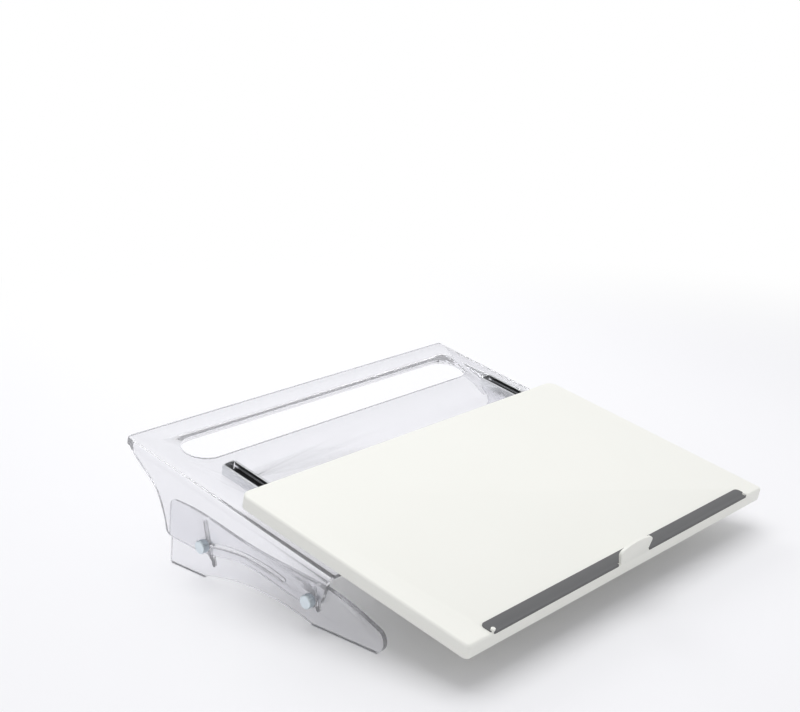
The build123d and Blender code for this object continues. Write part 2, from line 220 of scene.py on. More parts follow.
# the ray's direction has its height in Z, from 0 at the horizon to 1 overhead
direction = nodes.new("ShaderNodeTexCoord")
split = nodes.new("ShaderNodeSeparateXYZ")
links.new(direction.outputs["Generated"], split.inputs[0])
sky_rise = soft_rise(nodes, links, split.outputs["Z"], SKY_FROM, SKY_TO)
sky_rise.inputs["To Min"].default_value = LOW_SKY
sky_rise.inputs["To Max"].default_value = HIGH_SKY
links.new(sky_rise.outputs["Result"], sky.inputs["Strength"])

lit_or_mirrored = mixed(nodes, links, any_ray(nodes, links, "Is Glossy Ray"), room, sky)
seen = any_ray(nodes, links, "Is Camera Ray", "Is Transmission Ray")
whole_room = mixed(nodes, links, seen, lit_or_mirrored, backdrop)
links.new(whole_room.outputs[0], nodes["World Output"].inputs["Surface"])
print("room", ROOM_STRENGTH, "sky", LOW_SKY, "to", HIGH_SKY)

# %% [markdown]
# Two square lamps are the soft light of a studio. The large one hangs overhead and gives the
# shadow under the board. The small one stands at the back left, as the camera sees it, and rakes
# over the folds. Both are hidden from mirrors and clear plastic, where a bare square would show.

# %% Lamps
LAMPS_AIM = Vector((0, 0, 0.06))


def soft_lamp(name, place, size, watts):
    """A square area lamp aimed at the middle of the object."""
    lamp_data = bpy.data.lights.new(name, "AREA")
    lamp_data.shape = "SQUARE"
    lamp_data.size = size
    lamp_data.energy = watts
    lamp = bpy.data.objects.new(name, lamp_data)
    lamp.location = place
    lamp.rotation_euler = (LAMPS_AIM - Vector(place)).to_track_quat("-Z", "Y").to_euler()
    lamp.visible_transmission = False
    lamp.visible_glossy = False
    bpy.context.scene.collection.objects.link(lamp)
    print(name, watts, "W")


soft_lamp("sky_lamp", place=(0.0, 0.1, 1.9), size=1.8, watts=19)
soft_lamp("back_lamp", place=(0.9, 1.6, 1.1), size=0.9, watts=8)

# %% [markdown]
# Three small node groups give every finish its life. Each is built once and then placed in the
# materials with its own numbers. The first is mottle. Moulded plastic and rubber are never quite
# even: slow patches change their colour and sheen, and a fine grain lifts their surface. Two
# noise textures of different scale make both.

# %% Node group: mottle
FLOAT = "NodeSocketFloat"
COLOUR = "NodeSocketColor"
VECTOR = "NodeSocketVector"
PATCH_DETAIL = 3
GRAIN_DETAIL = 4


def new_group(name, inputs, outputs):
    """An empty shader group with named sockets, and its two end nodes."""
    group = bpy.data.node_groups.new(name, "ShaderNodeTree")
    for label, kind, value in inputs:
        socket = group.interface.new_socket(label, in_out="INPUT", socket_type=kind)
        if value is not None:
            socket.default_value = value
    for label, kind in outputs:
        group.interface.new_socket(label, in_out="OUTPUT", socket_type=kind)
    return group, group.nodes.new("NodeGroupInput"), group.nodes.new("NodeGroupOutput")


def noise(group, place, scale, detail):
    """A noise texture that reads its place and scale from sockets."""
    texture = group.nodes.new("ShaderNodeTexNoise")
    texture.inputs["Detail"].default_value = detail
    group.links.new(place, texture.inputs["Vector"])
    group.links.new(scale, texture.inputs["Scale"])
    return texture.outputs["Fac"]


def between(group, value, low_end, high_end):
    """Stretches a 0 to 1 value to lie between two sockets."""
    stretch = group.nodes.new("ShaderNodeMapRange")
    group.links.new(value, stretch.inputs["Value"])
    group.links.new(low_end, stretch.inputs["To Min"])
    group.links.new(high_end, stretch.inputs["To Max"])
    return stretch.outputs["Result"]


mottle, mottle_in, mottle_out = new_group(
    "mottle",
    [("Vector", VECTOR, None), ("Colour A", COLOUR, WHITE), ("Colour B", COLOUR, WHITE),
     ("Patch Scale", FLOAT, 20.0), ("Grain Scale", FLOAT, 900.0), ("Rough Low", FLOAT, 0.3),
     ("Rough High", FLOAT, 0.4)],
    [("Colour", COLOUR), ("Roughness", FLOAT), ("Height", FLOAT)])
mottle_place = mottle_in.outputs["Vector"]
patches = noise(mottle, mottle_place, mottle_in.outputs["Patch Scale"], PATCH_DETAIL)
grain = noise(mottle, mottle_place, mottle_in.outputs["Grain Scale"], GRAIN_DETAIL)
tint = mottle.nodes.new("ShaderNodeMix")
tint.data_type = "RGBA"
mottle.links.new(patches, tint.inputs["Factor"])
mottle.links.new(mottle_in.outputs["Colour A"], tint.inputs["A"])
mottle.links.new(mottle_in.outputs["Colour B"], tint.inputs["B"])
mottle_rough = between(mottle, patches, mottle_in.outputs["Rough Low"],
                       mottle_in.outputs["Rough High"])
mottle.links.new(tint.outputs["Result"], mottle_out.inputs["Colour"])
mottle.links.new(mottle_rough, mottle_out.inputs["Roughness"])
mottle.links.new(grain, mottle_out.inputs["Height"])
print("mottle nodes", len(mottle.nodes))

# %% [markdown]
# The second group is hairlines. Metal that has been rolled, drawn or turned keeps faint lines
# that run one way. One noise texture is enough: its place is stretched by a vector first, so that
# the noise is squeezed across the lines and stays long along them.

# %% Node group: hairlines
STREAK_DETAIL = 5
hairlines, hair_in, hair_out = new_group(
    "hairlines",
    [("Vector", VECTOR, None), ("Stretch", VECTOR, (1, 40, 40)), ("Scale", FLOAT, 60.0),
     ("Rough Low", FLOAT, 0.2), ("Rough High", FLOAT, 0.35)],
    [("Roughness", FLOAT), ("Height", FLOAT)])
pulled = hairlines.nodes.new("ShaderNodeVectorMath")
pulled.operation = "MULTIPLY"
hairlines.links.new(hair_in.outputs["Vector"], pulled.inputs[0])
hairlines.links.new(hair_in.outputs["Stretch"], pulled.inputs[1])
streaks = noise(hairlines, pulled.outputs[0], hair_in.outputs["Scale"], STREAK_DETAIL)
hair_rough = between(hairlines, streaks, hair_in.outputs["Rough Low"],
                     hair_in.outputs["Rough High"])
hairlines.links.new(hair_rough, hair_out.inputs["Roughness"])
hairlines.links.new(streaks, hair_out.inputs["Height"])
print("hairlines nodes", len(hairlines.nodes))

# %% [markdown]
# The third group is an edge mask that is 1 where the surface turns sharply. With it the edges of
# plastic and metal are painted a little lighter, part wear and part painted highlight, and the
# edges of a clear sheet a little darker, which is painted shade. A Bevel node bends the normal near
# an edge, so the mask is how far the bent normal departs from the plain one. It needs no painted
# texture and follows every edge of a piece.

# %% Node group: edge wear and painted light
BEVEL_SAMPLES = 4
# this mask paints edges lighter (part wear, part painted highlight) and clear-sheet edges darker (painted shade)
edge_wear_and_painted_light, wear_and_light_in, wear_and_light_out = new_group(
    "edge_wear_and_painted_light",
    [("Width", FLOAT, 0.0006), ("Amount", FLOAT, 0.5)],
    [("Mask", FLOAT)])
bent_normal = edge_wear_and_painted_light.nodes.new("ShaderNodeBevel")
bent_normal.samples = BEVEL_SAMPLES
edge_wear_and_painted_light.links.new(wear_and_light_in.outputs["Width"], bent_normal.inputs["Radius"])
plain_normal = edge_wear_and_painted_light.nodes.new("ShaderNodeNewGeometry")
agree = edge_wear_and_painted_light.nodes.new("ShaderNodeVectorMath")
agree.operation = "DOT_PRODUCT"
edge_wear_and_painted_light.links.new(bent_normal.outputs["Normal"], agree.inputs[0])
edge_wear_and_painted_light.links.new(plain_normal.outputs["Normal"], agree.inputs[1])
depart = edge_wear_and_painted_light.nodes.new("ShaderNodeMath")
depart.operation = "SUBTRACT"
depart.use_clamp = True
depart.inputs[0].default_value = 1.0
edge_wear_and_painted_light.links.new(agree.outputs["Value"], depart.inputs[1])
wear_and_light_amount = edge_wear_and_painted_light.nodes.new("ShaderNodeMath")
wear_and_light_amount.operation = "MULTIPLY"
wear_and_light_amount.use_clamp = True
edge_wear_and_painted_light.links.new(depart.outputs[0], wear_and_light_amount.inputs[0])
edge_wear_and_painted_light.links.new(wear_and_light_in.outputs["Amount"], wear_and_light_amount.inputs[1])
edge_wear_and_painted_light.links.new(wear_and_light_amount.outputs[0], wear_and_light_out.inputs["Mask"])
print("node groups", [g.name for g in bpy.data.node_groups])

# %% [markdown]
# A finish is then a Principled shader with one or two of these groups plugged in. The helpers
# below start such a material, put object coordinates on its groups, tint its edges and add a
# gentle bump. Whatever is the same all over the surface stays on the shader's own sockets.

# %% Material helpers
def new_look(name, **sockets):
    """A material with a Principled shader whose plain sockets are set by name."""
    look = bpy.data.materials.new(name)
    look.use_nodes = True
    shader = look.node_tree.nodes["Principled BSDF"]
    for label, value in sockets.items():
        shader.inputs[label.replace("_", " ")].default_value = value
    coordinates = look.node_tree.nodes.new("ShaderNodeTexCoord")
    return look, look.node_tree.nodes, look.node_tree.links, shader, coordinates.outputs["Object"]


def place_group(nodes, links, group, place, **values):
    """A node group in a material, fed with object coordinates and its own numbers."""
    node = nodes.new("ShaderNodeGroup")
    node.node_tree = group
    if "Vector" in node.inputs:
        links.new(place, node.inputs["Vector"])
    for label, value in values.items():
        node.inputs[label.replace("_", " ")].default_value = value
    return node


def place_mottle(nodes, links, shader, place, colours, rough, patch_scale, grain_scale):
    """The mottle group with its uneven sheen plugged in, and its colour and height to use."""
    life = place_group(nodes, links, mottle, place, Colour_A=colours[0], Colour_B=colours[1],
                       Patch_Scale=patch_scale, Grain_Scale=grain_scale, Rough_Low=rough[0],
                       Rough_High=rough[1])
    links.new(life.outputs["Roughness"], shader.inputs["Roughness"])
    return life.outputs["Colour"], life.outputs["Height"]


def tint_edges(nodes, links, shader, colour, edge_colour, width, amount):
    """Mixes a colour, or a socket's colour, towards an edge colour where the surface turns."""
    wear_and_light = place_group(nodes, links, edge_wear_and_painted_light, None, Width=width, Amount=amount)
    mix = nodes.new("ShaderNodeMix")
    mix.data_type = "RGBA"
    links.new(wear_and_light.outputs["Mask"], mix.inputs["Factor"])
    if hasattr(colour, "is_output"):
        links.new(colour, mix.inputs["A"])
    else:
        mix.inputs["A"].default_value = colour
    mix.inputs["B"].default_value = edge_colour
    links.new(mix.outputs["Result"], shader.inputs["Base Color"])


def bump(nodes, links, shader, height, strength, distance):
    """Feeds a height to the shader's normal."""
    lift = nodes.new("ShaderNodeBump")
    lift.inputs["Strength"].default_value = strength
    lift.inputs["Distance"].default_value = distance
    links.new(height, lift.inputs["Height"])
    links.new(lift.outputs["Normal"], shader.inputs["Normal"])


# %% [markdown]
# The board is a warm off-white plastic, smooth but not glossy: its light comes from a wide soft
# highlight, with a grain so fine that it only takes the hard edge off reflections. The strip is
# mid-grey rubber, duller and grainier. The cages are near black plastic, and the channel floors are
# painted near black as shade. All four are mottle with their own colours, and their edges are
# painted a shade lighter than the rest, part wear and part painted highlight.

# %% Plastic and rubber
MOULDED_EDGE = 0.5 * MM
MOULDED_WEAR_AND_HIGHLIGHT = 1.5
MOULDED_BUMP = 0.35


def moulded(name, colours, rough, patch_scale, grain_scale, grain_depth):
    """Moulded plastic or rubber: mottled colour, uneven sheen and a fine grain."""
    look, nodes, links, shader, place = new_look(name)
    colour, height = place_mottle(nodes, links, shader, place, colours, rough, patch_scale,
                                  grain_scale)
    # edges painted a shade lighter: part wear, part painted highlight
    edge_colour = [min(1.0, 1.06 * c + 0.02) for c in colours[1][:3]] + [1]
    tint_edges(nodes, links, shader, colour, edge_colour, MOULDED_EDGE, MOULDED_WEAR_AND_HIGHLIGHT)
    bump(nodes, links, shader, height, MOULDED_BUMP, grain_depth)
    return look


board_white = moulded(
    "board_white", colours=((0.86, 0.86, 0.80, 1), (0.89, 0.89, 0.835, 1)), rough=(0.34, 0.46),
    patch_scale=6.0, grain_scale=1400.0, grain_depth=0.00003)
grip_grey = moulded(
    "grip_grey", colours=((0.108, 0.109, 0.11, 1), (0.138, 0.139, 0.14, 1)), rough=(0.55, 0.75),
    patch_scale=40.0, grain_scale=1800.0, grain_depth=0.00012)
cage_black = moulded(
    "cage_black", colours=((0.012, 0.012, 0.013, 1), (0.02, 0.02, 0.02, 1)), rough=(0.35, 0.5),
    patch_scale=80.0, grain_scale=2000.0, grain_depth=0.00004)
# this near-black is painted shade for the inside of the slide channels
channel_painted_shade = moulded(
    "channel_painted_shade", colours=((0.014, 0.014, 0.015, 1), (0.03, 0.03, 0.032, 1)), rough=(0.3, 0.5),
    patch_scale=70.0, grain_scale=1600.0, grain_depth=0.00004)
print("moulded", [look.name for look in (board_white, grip_grey, cage_black, channel_painted_shade)])

# %% [markdown]
# The slides are zinc plated and rolled, so their hairlines run up the slope. Plating is a little
# duller than bare metal, which a Metallic below 1 gives. The knobs are turned and satin, with a
# cool tint. The small screws are plain bright steel, and the balls are polished.

# %% Metals
METAL_EDGE = 0.3 * MM
METAL_WEAR_AND_HIGHLIGHT = 2.0
METAL_BUMP = 0.25


def drawn_metal(name, colour, rough, stretch, scale, depth, metallic=1.0):
    """Rolled or turned metal with hairlines one way."""
    look, nodes, links, shader, place = new_look(name, Metallic=metallic)
    # edges painted lighter: part wear, part painted highlight
    edge_colour = [min(1.0, 1.2 * c) for c in colour[:3]] + [1]
    tint_edges(nodes, links, shader, colour, edge_colour, METAL_EDGE, METAL_WEAR_AND_HIGHLIGHT)
    lines = place_group(nodes, links, hairlines, place, Stretch=stretch, Scale=scale,
                        Rough_Low=rough[0], Rough_High=rough[1])
    links.new(lines.outputs["Roughness"], shader.inputs["Roughness"])
    bump(nodes, links, shader, lines.outputs["Height"], METAL_BUMP, depth)
    return look


zinc = drawn_metal("zinc", (0.82, 0.83, 0.85, 1), rough=(0.16, 0.34), stretch=(40, 1, 40),
                   scale=50.0, depth=0.00003, metallic=0.75)
knob_satin = drawn_metal("knob_satin", (0.72, 0.79, 0.83, 1), rough=(0.22, 0.38),
                         stretch=(6, 60, 60), scale=40.0, depth=0.00003)
screw_steel = drawn_metal("screw_steel", (0.62, 0.63, 0.65, 1), rough=(0.2, 0.36),
                          stretch=(30, 30, 30), scale=60.0, depth=0.00002)
ball_chrome = drawn_metal("ball_chrome", (0.82, 0.83, 0.85, 1), rough=(0.06, 0.12),
                          stretch=(20, 20, 20), scale=80.0, depth=0.00001)
print("metals", [look.name for look in (zinc, knob_satin, screw_steel, ball_chrome)])

# %% [markdown]
# Clear acrylic is the hard one. The sheet is colourless from the front, but light that runs
# along it picks up a faint cool grey, so its edges and folds look darker, with bright lines beside
# them. The shader is plain transmission with acrylic's own index of 1.49. The edge group paints
# that darker grey on the edges as painted shade, and the mottle adds a very faint waviness, as a
# bent sheet has.
#
# Shadow rays don't bend, so a clear piece would throw a solid one's dark shadow. They, and the
# soft light that floor and board give back, go straight through instead, as they nearly do
# through a thin sheet.

# %% Clear acrylic
ACRYLIC_INDEX = 1.49
ACRYLIC_EDGE_PAINTED_SHADE = (0.66, 0.66, 0.7, 1)
ACRYLIC_EDGE = 0.9 * MM
ACRYLIC_EDGE_AMOUNT = 2.5
STRAIGHT_THROUGH = (0.985, 0.985, 0.99, 1)

clear_acrylic, nodes, links, shader, place = new_look(
    "clear_acrylic", Transmission_Weight=0.9, IOR=ACRYLIC_INDEX)
colour, height = place_mottle(
    nodes, links, shader, place, colours=((0.885, 0.885, 0.91, 1), (0.905, 0.905, 0.925, 1)),
    rough=(0.012, 0.035), patch_scale=9.0, grain_scale=60.0)
# painted shade: the edges and folds of the sheet are tinted darker grey
tint_edges(nodes, links, shader, colour, ACRYLIC_EDGE_PAINTED_SHADE, ACRYLIC_EDGE, ACRYLIC_EDGE_AMOUNT)
bump(nodes, links, shader, height, strength=0.02, distance=0.0002)

see_through = nodes.new("ShaderNodeBsdfTransparent")
see_through.inputs["Color"].default_value = STRAIGHT_THROUGH
straight = any_ray(nodes, links, "Is Shadow Ray", "Is Diffuse Ray")
whole_acrylic = mixed(nodes, links, straight, shader, see_through)
links.new(whole_acrylic.outputs[0], nodes["Material Output"].inputs["Surface"])
print("acrylic nodes", len(nodes))

# %% [markdown]
# The pads under the feet are clear soft rubber, milkier and duller than the sheet they carry, so
# that from a step away only a thin pale line tells that they are there. It is the same recipe as
# the acrylic's, with a lower index, less transmission and a rougher, grainier skin.

# %% Clear rubber
RUBBER_INDEX = 1.41
clear_rubber, nodes, links, shader, place = new_look(
    "clear_rubber", Transmission_Weight=0.6, IOR=RUBBER_INDEX)
colour, height = place_mottle(
    nodes, links, shader, place, colours=((0.8, 0.8, 0.82, 1), (0.88, 0.88, 0.9, 1)),
    rough=(0.3, 0.45), patch_scale=40.0, grain_scale=1200.0)
links.new(colour, shader.inputs["Base Color"])
bump(nodes, links, shader, height, strength=0.3, distance=0.0001)
print("materials", len(bpy.data.materials))

# %% [markdown]
# Many CAD shapes are right already and only look hard, because a CAD edge has no width. The next
# helpers copy such a node, join its loose triangles, turn flat areas back into single faces and
# round the real edges with a bevel operator. The copy then stands for the node, and rides on the
# same body.

# %% Copy a CAD shape with rounded edges
WELD = 0.000002
FLAT_TURN = radians(0.5)
SHARP_TURN = radians(40)
SMOOTH_BELOW = 35
body_of_node = {node: body for body, nodes_in in frame["record"]["behaviour"]["bodies"].items()
                for node in nodes_in}


def new_piece(name, bm, look, body, slot_name, *nodes_replaced):
    """Turns a bmesh into a finished piece that stands for CAD nodes."""
    mesh = bpy.data.meshes.new(name)
    bm.to_mesh(mesh)
    bm.free()
    mesh.materials.append(look)
    piece = bpy.data.objects.new(name, mesh)
    bpy.context.scene.collection.objects.link(piece)
    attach(piece, body)
    if nodes_replaced:
        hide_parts(*nodes_replaced)
    return piece


def shade(piece, degrees):
    """Smooth shading, with the edges that turn by more than an angle kept sharp."""
    mesh = piece.data
    for face in mesh.polygons:
        face.use_smooth = True
    bm = bmesh.new()
    bm.from_mesh(mesh)
    for edge in bm.edges:
        edge.smooth = len(edge.link_faces) == 2 and edge.calc_face_angle(0) < radians(degrees)
    bm.to_mesh(mesh)
    bm.free()


def merged_copy(node):
    """The CAD node's mesh as one bmesh with clean flat faces."""
    bm = bmesh.new()
    bm.from_mesh(frame["nodes"][node].data)
    bmesh.ops.remove_doubles(bm, verts=bm.verts, dist=WELD)
    bmesh.ops.dissolve_limit(bm, angle_limit=FLAT_TURN, verts=bm.verts, edges=bm.edges)
    return bm


def round_edges(bm, width, segments):
    """Bevels the edges where the surface turns sharply."""
    sharp = [edge for edge in bm.edges
             if len(edge.link_faces) == 2 and edge.calc_face_angle(0) > SHARP_TURN]
    bmesh.ops.bevel(bm, geom=sharp, offset=width, offset_type="OFFSET", segments=segments,
                    profile=0.5, affect="EDGES", clamp_overlap=True, material=-1)
    return len(sharp)


def dressed(node, look, slot_name, width, segments=2):
    """Puts a rounded copy of a CAD node in its place."""
    bm = merged_copy(node)
    edges_rounded = round_edges(bm, width, segments)
    piece = new_piece(node + "_dressed", bm, look, body_of_node[node], slot_name, node)
    shade(piece, SMOOTH_BELOW)
    print(node, "edges rounded", edges_rounded, "faces", len(piece.data.polygons))


# %% [markdown]
# The shell and the foot plates are cut from 5 mm sheet and flame polished, which rounds their
# edges by about half a millimetre. Those tiny rounds matter more than anything else here: they
# are the bright lines that draw a clear object.

# %% Shell and foot plates
POLISHED_EDGE = 0.6 * MM
dressed("slope_shell", clear_acrylic, "clear_acrylic", POLISHED_EDGE, segments=3)
for side in SIDES:
    dressed(side + "_foot_plate", clear_acrylic, "clear_acrylic", POLISHED_EDGE, segments=3)

# %% [markdown]
# The board is one moulded tray with edges rounded to the touch, and the strip is a rubber
# extrusion let into its front. Both could be drawn again, but the CAD shapes are true already,
# so they are copies with their edges rounded.

# %% Board and strip
TOUCH_EDGE = 0.5 * MM
dressed("board_tray", board_white, "board_white", TOUCH_EDGE, segments=3)
dressed("grip_strip", grip_grey, "grip_rubber", TOUCH_EDGE, segments=3)

# %% [markdown]
# A ball bearing slide is rolled from zinc plated strip. Its channel shows two bright lips and a
# bright stripe along the middle of its floor. The rest of its inside lies in shade, which is painted
# black, but for a band along the ball tracks. So the channel's copy carries two finishes: it is cut
# along the stripe and the tracks, and the faces in shade are given the black painted shade. The
# runner and the cage have one finish each.

# %% Slides
ROLLED_EDGE = 0.2 * MM
CAGE_EDGE = 0.15 * MM
# upward channel faces lower than this, and inner walls off the ball tracks, are painted black as shade
PAINTED_SHADE_HEIGHT = 4 * MM
HALF_STRIPE = 1.7 * MM
BALL_TRACK = (3.9 * MM, 6.1 * MM)
FACING = 0.5
CUT_WELD = 0.000001


def gets_painted_shade(face, middle_u, floor_w):
    """Whether a face takes painted shade: on the floor beside the stripe, or inside off the tracks."""
    middle = slope_of([face.calc_center_median()])[0]
    beside = middle.x - middle_u
    height = middle.z - floor_w
    if abs(beside) <= HALF_STRIPE:
        return False
    on_floor = face.normal.dot(OFF_BOARD) > FACING and height < PAINTED_SHADE_HEIGHT
    faces_in = face.normal.x * beside < 0 and abs(face.normal.x) > FACING
    off_track = height < BALL_TRACK[0] or height > BALL_TRACK[1]
    return on_floor or (faces_in and off_track)


def striped_channel(node):
    """A rounded copy of a channel, painted black as shade but for its stripe, tracks and lips."""
    bm = merged_copy(node)
    round_edges(bm, ROLLED_EDGE, segments=2)
    low_corner, high_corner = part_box(node)
    middle_u = (low_corner[0] + high_corner[0]) / 2
    floor_w = min(p.z for p in slope_of(v.co for v in bm.verts))
    cuts = [((middle_u + beside, 0, 0), ACROSS) for beside in (-HALF_STRIPE, HALF_STRIPE)]
    cuts += [(SLOPE @ Vector((0, 0, floor_w + height)), OFF_BOARD) for height in BALL_TRACK]
    for point, normal in cuts:
        bmesh.ops.bisect_plane(bm, geom=list(bm.verts) + list(bm.edges) + list(bm.faces),
                               dist=CUT_WELD, plane_co=point, plane_no=normal)
    # the faces that lie in the channel's shade are painted black
    painted_shade = [face for face in bm.faces if gets_painted_shade(face, middle_u, floor_w)]
    for face in painted_shade:
        face.material_index = 1
    painted_shade_count = len(painted_shade)
    channel = new_piece(node + "_dressed", bm, zinc, body_of_node[node], "slide_steel", node)
    channel.data.materials.append(channel_painted_shade)
    shade(channel, SMOOTH_BELOW)
    print(channel.name, "greasy faces", painted_shade_count)


for side in SIDES:
    striped_channel(side + "_rail_channel")
    dressed(side + "_rail_runner", zinc, "slide_steel", ROLLED_EDGE)
    dressed(side + "_ball_cage", cage_black, "cage_plastic", CAGE_EDGE)

# %% [markdown]
# The pads are cut from a soft sheet and stuck under the feet, and the washers are stamped, so
# both have plain outlines with a small round. Copies are again enough.

# %% Pads and washers
PAD_EDGE = 0.3 * MM
WASHER_EDGE = 0.2 * MM
for side in SIDES:
    for end in ENDS:
        dressed(side + "_" + end + "_pad", clear_rubber, "pad_rubber", PAD_EDGE)
        dressed(side + "_" + end + "_washer", screw_steel, "bolt_steel", WASHER_EDGE)

# %% [markdown]
# Knobs, bolts and screws are all turned on a lathe, and so are these: a profile is drawn from the
# axis outwards and spun round it. Each profile point also says how its ring departs from a
# circle. A grooved ring dips 18 times for the fingers, and a hexagonal or crossed ring makes the
# socket for the driver.

# %% Lathe
GROOVES = 18
GROOVE_DEPTH = 0.05
HEXAGON = 6
CROSS_ARM = 0.3
LEAST_SINE = 0.01
RING_WELD = 0.000001
KINDS = ("round", "grooved", "hex", "cross")


def rings(kind, *pairs):
    """Profile points of one kind, from pairs of a distance along the axis and a radius."""
    return [(along, radius, kind) for along, radius in pairs]


def ring_scale(kind, turn):
    """How far a ring reaches at an angle, as a part of its radius."""
    if kind == "grooved":
        return 1 - GROOVE_DEPTH * max(0.0, cos(GROOVES * turn)) ** 2
    if kind == "hex":
        step = 2 * pi / HEXAGON
        return cos(step / 2) / cos((turn % step) - step / 2)
    if kind == "cross":
        off_arm = abs((turn + pi / 4) % (pi / 2) - pi / 4)
        return min(1 / cos(off_arm), CROSS_ARM / max(sin(off_arm), LEAST_SINE))
    return 1.0


def turned(bm, foot, axis, profile, steps):
    """Spins a profile of (along, radius, kind) in metres round an axis that starts at foot."""
    kind_layer = bm.verts.layers.int.get("kind") or bm.verts.layers.int.new("kind")
    axis = Vector(axis).normalized()
    out = axis.orthogonal().normalized()
    across = axis.cross(out)
    line = []
    for along, radius, kind in profile:
        vert = bm.verts.new(foot + axis * along + out * radius)
        vert[kind_layer] = KINDS.index(kind)
        line.append(vert)
    edges = [bm.edges.new(pair) for pair in zip(line, line[1:])]
    before = set(bm.verts) - set(line)
    bmesh.ops.spin(bm, geom=line + edges, cent=foot, axis=axis, dvec=(0, 0, 0), angle=2 * pi,
                   steps=steps, use_merge=True, use_duplicate=False)
    spun = [v for v in bm.verts if v not in before]
    bmesh.ops.remove_doubles(bm, verts=spun, dist=RING_WELD)
    welded = [v for v in bm.verts if v not in before]
    for vert in welded:
        away = vert.co - foot
        flat = away - axis * away.dot(axis)
        turn = atan2(flat.dot(across), flat.dot(out))
        vert.co = foot + axis * away.dot(axis) + flat * ring_scale(KINDS[vert[kind_layer]], turn)
    bmesh.ops.recalc_face_normals(bm, faces=list({f for v in welded for f in v.link_faces}))


def lathe_place(node):
    """Where a sideways node begins on the inside, which way is out, its length and radius."""
    low_corner, high_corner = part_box(node)
    out = 1 if low_corner[0] + high_corner[0] > 0 else -1
    inner, outer = sorted((abs(low_corner[0]), abs(high_corner[0])))
    middle_y = (low_corner[1] + high_corner[1]) / 2
    middle_z = (low_corner[2] + high_corner[2]) / 2
    foot = Vector((out * inner, middle_y, middle_z))
    return foot, Vector((out, 0, 0)), outer - inner, (high_corner[2] - low_corner[2]) / 2


# %% [markdown]
# A clamp knob is a short turned cylinder with finger grooves. It has a raised boss on the back, a
# shallow dish in the face, and a blind hole for the bolt. Its profile starts at the bottom of the
# hole, goes round the boss and up the grooved side, and ends at the middle of the dish.

# %% Knobs
KNOB_HOLE = 2.2 * MM
KNOB_BACK_WALL = 2.0 * MM
KNOB_BOSS = (0.62, 0.66)
KNOB_BOSS_HEIGHT = 0.5 * MM
KNOB_RIM = 0.5 * MM
KNOB_BACK_ROUND = ((0.8 * MM, 0.15 * MM), (1.1 * MM, 0))
KNOB_FACE_ROUND = ((1.1 * MM, 0), (0.6 * MM, 0.12 * MM))
KNOB_FACE_RIM = 0.25 * MM
KNOB_FACE_CHAMFER = 0.45 * MM
KNOB_DISH = (0.78, 0.74)
KNOB_DISH_DEPTH = 0.3 * MM
KNOB_DIMPLE = (0.34, 0.3)
KNOB_DIMPLE_DEPTH = 0.5 * MM
KNOB_STEPS = GROOVES * 8
KNOB_SMOOTH_BELOW = 28


def knob_profile(long, radius):
    """From the bottom of the hole round the back, the grooved side and the dished face."""
    hole_end = long - KNOB_BACK_WALL
    rim = radius - KNOB_RIM
    dish = long - KNOB_DISH_DEPTH
    dimple = long - KNOB_DIMPLE_DEPTH
    back = rings("round", (hole_end, 0), (hole_end, KNOB_HOLE), (0, KNOB_HOLE),
                 (0, radius * KNOB_BOSS[0]), (KNOB_BOSS_HEIGHT, radius * KNOB_BOSS[1]),
                 (KNOB_BOSS_HEIGHT, rim))
    side_wall = rings("grooved",
                      *[(depth, radius - inset) for depth, inset in KNOB_BACK_ROUND],
                      *[(long - depth, radius - inset) for depth, inset in KNOB_FACE_ROUND])
    face = rings("round", (long - KNOB_FACE_RIM, rim), (long, rim - KNOB_FACE_CHAMFER),
                 (long, radius * KNOB_DISH[0]), (dish, radius * KNOB_DISH[1]),
                 (dish, radius * KNOB_DIMPLE[0]), (dimple, radius * KNOB_DIMPLE[1]), (dimple, 0))
    return back + side_wall + face


for side in SIDES:
    for end in ENDS:
        name = side + "_" + end + "_knob"
        foot, out, long, radius = lathe_place(name)
        bm = bmesh.new()
        turned(bm, foot, out, knob_profile(long, radius), KNOB_STEPS)
        knob = new_piece(name + "_turned", bm, knob_satin, body_of_node[name], "knob_metal", name)
        shade(knob, KNOB_SMOOTH_BELOW)
        print(name, "faces", len(knob.data.polygons))

# %% [markdown]
# A bolt has a domed head with a hexagonal socket at its inner end, and a thread that the knob
# turns on. A real thread is one long helix. Here it is a row of plain rings, which look the same
# at this size and keep the bolt a simple turned shape.

# %% Bolts
SHANK = 2.0 * MM
HEAD_HEIGHT = 3.0 * MM
HEAD_DOME = ((0.1 * MM, 0.6), (0.45 * MM, 0.8), (1.1 * MM, 0.95), (1.8 * MM, 1.0))
HEAD_CHAMFER = 0.2 * MM
SOCKET = 1.75 * MM
SOCKET_DEPTH = 1.6 * MM
SOCKET_MOUTH = (0.15 * MM, 0.25 * MM)
THREAD_PITCH = 0.7 * MM
THREAD_DEPTH = 0.22 * MM
THREAD_FROM = 11.0 * MM
THREAD_MARGIN = 1 * MM
THREAD_VALLEY = (0.4, 0.6)
SHANK_CHAMFER = (0.6 * MM, 0.5 * MM)
BOLT_STEPS = 48
SCREW_SMOOTH_BELOW = 30


